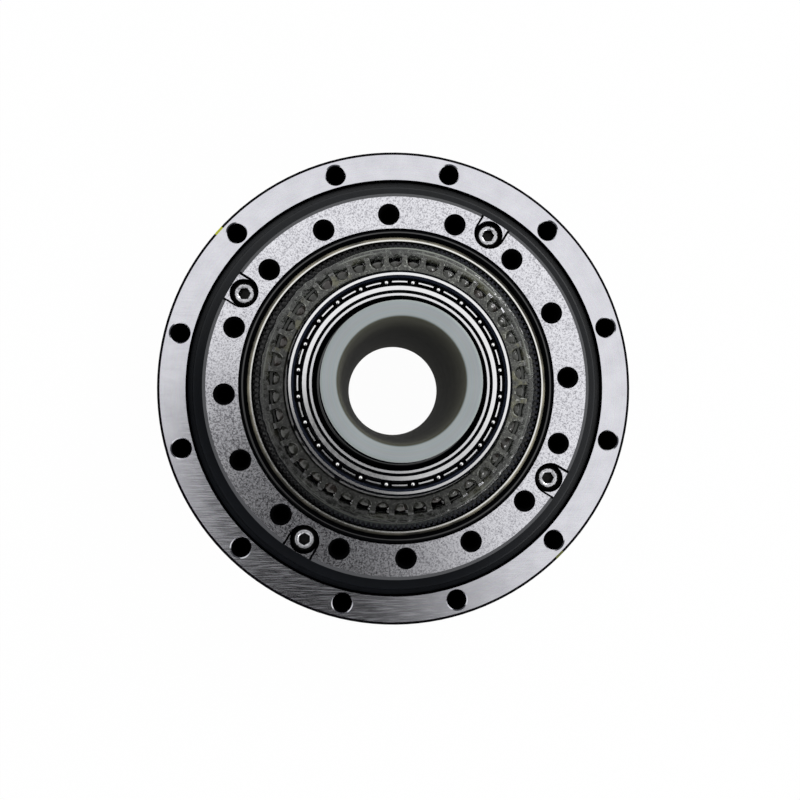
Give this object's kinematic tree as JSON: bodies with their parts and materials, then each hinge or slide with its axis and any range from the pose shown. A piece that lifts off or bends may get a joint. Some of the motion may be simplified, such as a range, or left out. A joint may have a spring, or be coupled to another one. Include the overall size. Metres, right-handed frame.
{
  "type": "hollow-shaft strain wave reducer",
  "caption": "Round hollow-shaft strain wave gear reducer with a bolted outer ring, a turning output ring, an oval wave generator and a plastic cable sleeve.",
  "frame": {"origin": "centre of the cable sleeve's rear end, on the common axis", "axes": "+Z along the axis, towards the output face"},
  "size_m": [0.09, 0.09, 0.0515],
  "materials": {
    "ground_steel": "ground",
    "bright_iron": "fine turned",
    "bearing_steel": "polished",
    "spring_steel": "ground",
    "dark_steel": "black oxide",
    "seal_rubber": "moulded",
    "black_rubber": "moulded",
    "nylon": "moulded",
    "greased_resin": "greased",
    "white_resin": "turned"
  },
  "bodies": {
    "housing": {"bearing_outer_ring": "ground_steel", "roller_plug": "ground_steel", "plug_pin": "dark_steel", "output_seal": "seal_rubber", "flexspline": "spring_steel", "flange_screws": "dark_steel", "flange_o_ring": "black_rubber"},
    "output": {"circular_spline": "bright_iron", "spline_screws": "dark_steel", "face_o_ring": "black_rubber", "bearing_inner_ring": "ground_steel"},
    "roller_set": {"cross_rollers": "bearing_steel", "roller_spacers": "nylon"},
    "wave_generator": {"input_shaft": "ground_steel", "flex_inner_race": "bearing_steel", "flex_balls": "bearing_steel", "flex_cage": "greased_resin", "flex_outer_race": "bearing_steel", "race_ring": "spring_steel", "sleeve_o_rings": "black_rubber", "cable_sleeve": "white_resin", "front_inner_ring": "bearing_steel", "rear_inner_ring": "bearing_steel"},
    "front_race": {"front_outer_ring": "bearing_steel"},
    "front_ball_set": {"front_balls": "bearing_steel", "front_cage": "bearing_steel"},
    "rear_race": {"rear_outer_ring": "bearing_steel"},
    "rear_ball_set": {"rear_balls": "bearing_steel", "rear_cage": "bearing_steel"}
  },
  "joints": [
    {"name": "input_spin", "type": "hinge", "parent": "housing", "child": "wave_generator", "pos_m": [0, 0, 0.0284], "axis": [0, 0, 1], "continuous": true, "deforming": ["flexspline"]},
    {"name": "output_spin", "type": "hinge", "parent": "housing", "child": "output", "pos_m": [0, 0, 0.01645], "axis": [0, 0, 1], "continuous": true},
    {"name": "roller_spin", "type": "hinge", "parent": "housing", "child": "roller_set", "pos_m": [0, 0, 0.01645], "axis": [0, 0, 1], "continuous": true},
    {"name": "front_race_spin", "type": "hinge", "parent": "wave_generator", "child": "front_race", "pos_m": [0, 0, 0.0417], "axis": [0, 0, 1], "continuous": true},
    {"name": "front_ball_spin", "type": "hinge", "parent": "wave_generator", "child": "front_ball_set", "pos_m": [0, 0, 0.0417], "axis": [0, 0, 1], "continuous": true},
    {"name": "rear_race_spin", "type": "hinge", "parent": "wave_generator", "child": "rear_race", "pos_m": [0, 0, 0.0051], "axis": [0, 0, 1], "continuous": true},
    {"name": "rear_ball_spin", "type": "hinge", "parent": "wave_generator", "child": "rear_ball_set", "pos_m": [0, 0, 0.0051], "axis": [0, 0, 1], "continuous": true}
  ],
  "couplings": [
    {"joint": "output_spin", "follows": "input_spin", "ratio": 0.012346},
    {"joint": "roller_spin", "follows": "input_spin", "ratio": 0.0061728},
    {"joint": "front_ball_spin", "follows": "front_race_spin", "ratio": 0.5296},
    {"joint": "rear_ball_spin", "follows": "rear_race_spin", "ratio": 0.5296}
  ]
}
